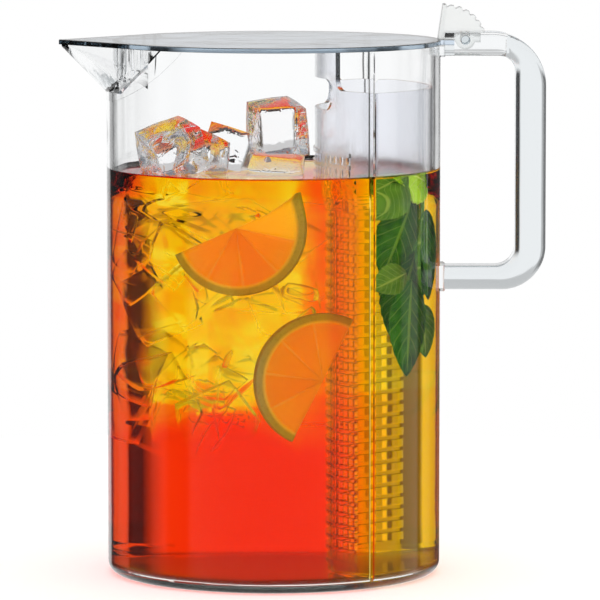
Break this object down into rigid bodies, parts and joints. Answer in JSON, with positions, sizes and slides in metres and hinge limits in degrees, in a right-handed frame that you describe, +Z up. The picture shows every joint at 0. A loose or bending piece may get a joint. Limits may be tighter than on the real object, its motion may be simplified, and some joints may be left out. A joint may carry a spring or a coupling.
{
  "type": "iced tea maker",
  "caption": "Tall clear round jug with pouring beak, hinged lid with frosted thumb lever, bar handle and a lens-shaped lift-out infuser standing inside.",
  "frame": {"origin": "on the jug's axis, in the plane it stands on", "axes": "+Z up along the jug's axis, +X towards the handle, beak towards -X"},
  "size_m": [0.2009, 0.138, 0.2356],
  "materials": {
    "jug_clear": "gloss",
    "handle_clear": "gloss",
    "lid_clear": "gloss",
    "lever_frosted": "satin",
    "infuser_clear": "gloss",
    "pin_clear": "gloss"
  },
  "bodies": {
    "jug": {"jug_body": "jug_clear", "handle": "handle_clear", "hinge_pin": "pin_clear"},
    "lid": {"lid": "lid_clear", "thumb_lever": "lever_frosted"},
    "infuser": {"infuser_back": "infuser_clear", "infuser_screen": "infuser_clear", "infuser_base": "infuser_clear"}
  },
  "joints": [
    {"name": "lid_hinge", "type": "hinge", "parent": "jug", "child": "lid", "pos_m": [0.0789, 0, 0.2212], "axis": [0, 1, 0], "range_deg": [0, 105]},
    {"name": "infuser_lift", "type": "slide", "parent": "jug", "child": "infuser", "axis": [0, 0, 1], "range_m": [0, 0.001]}
  ]
}
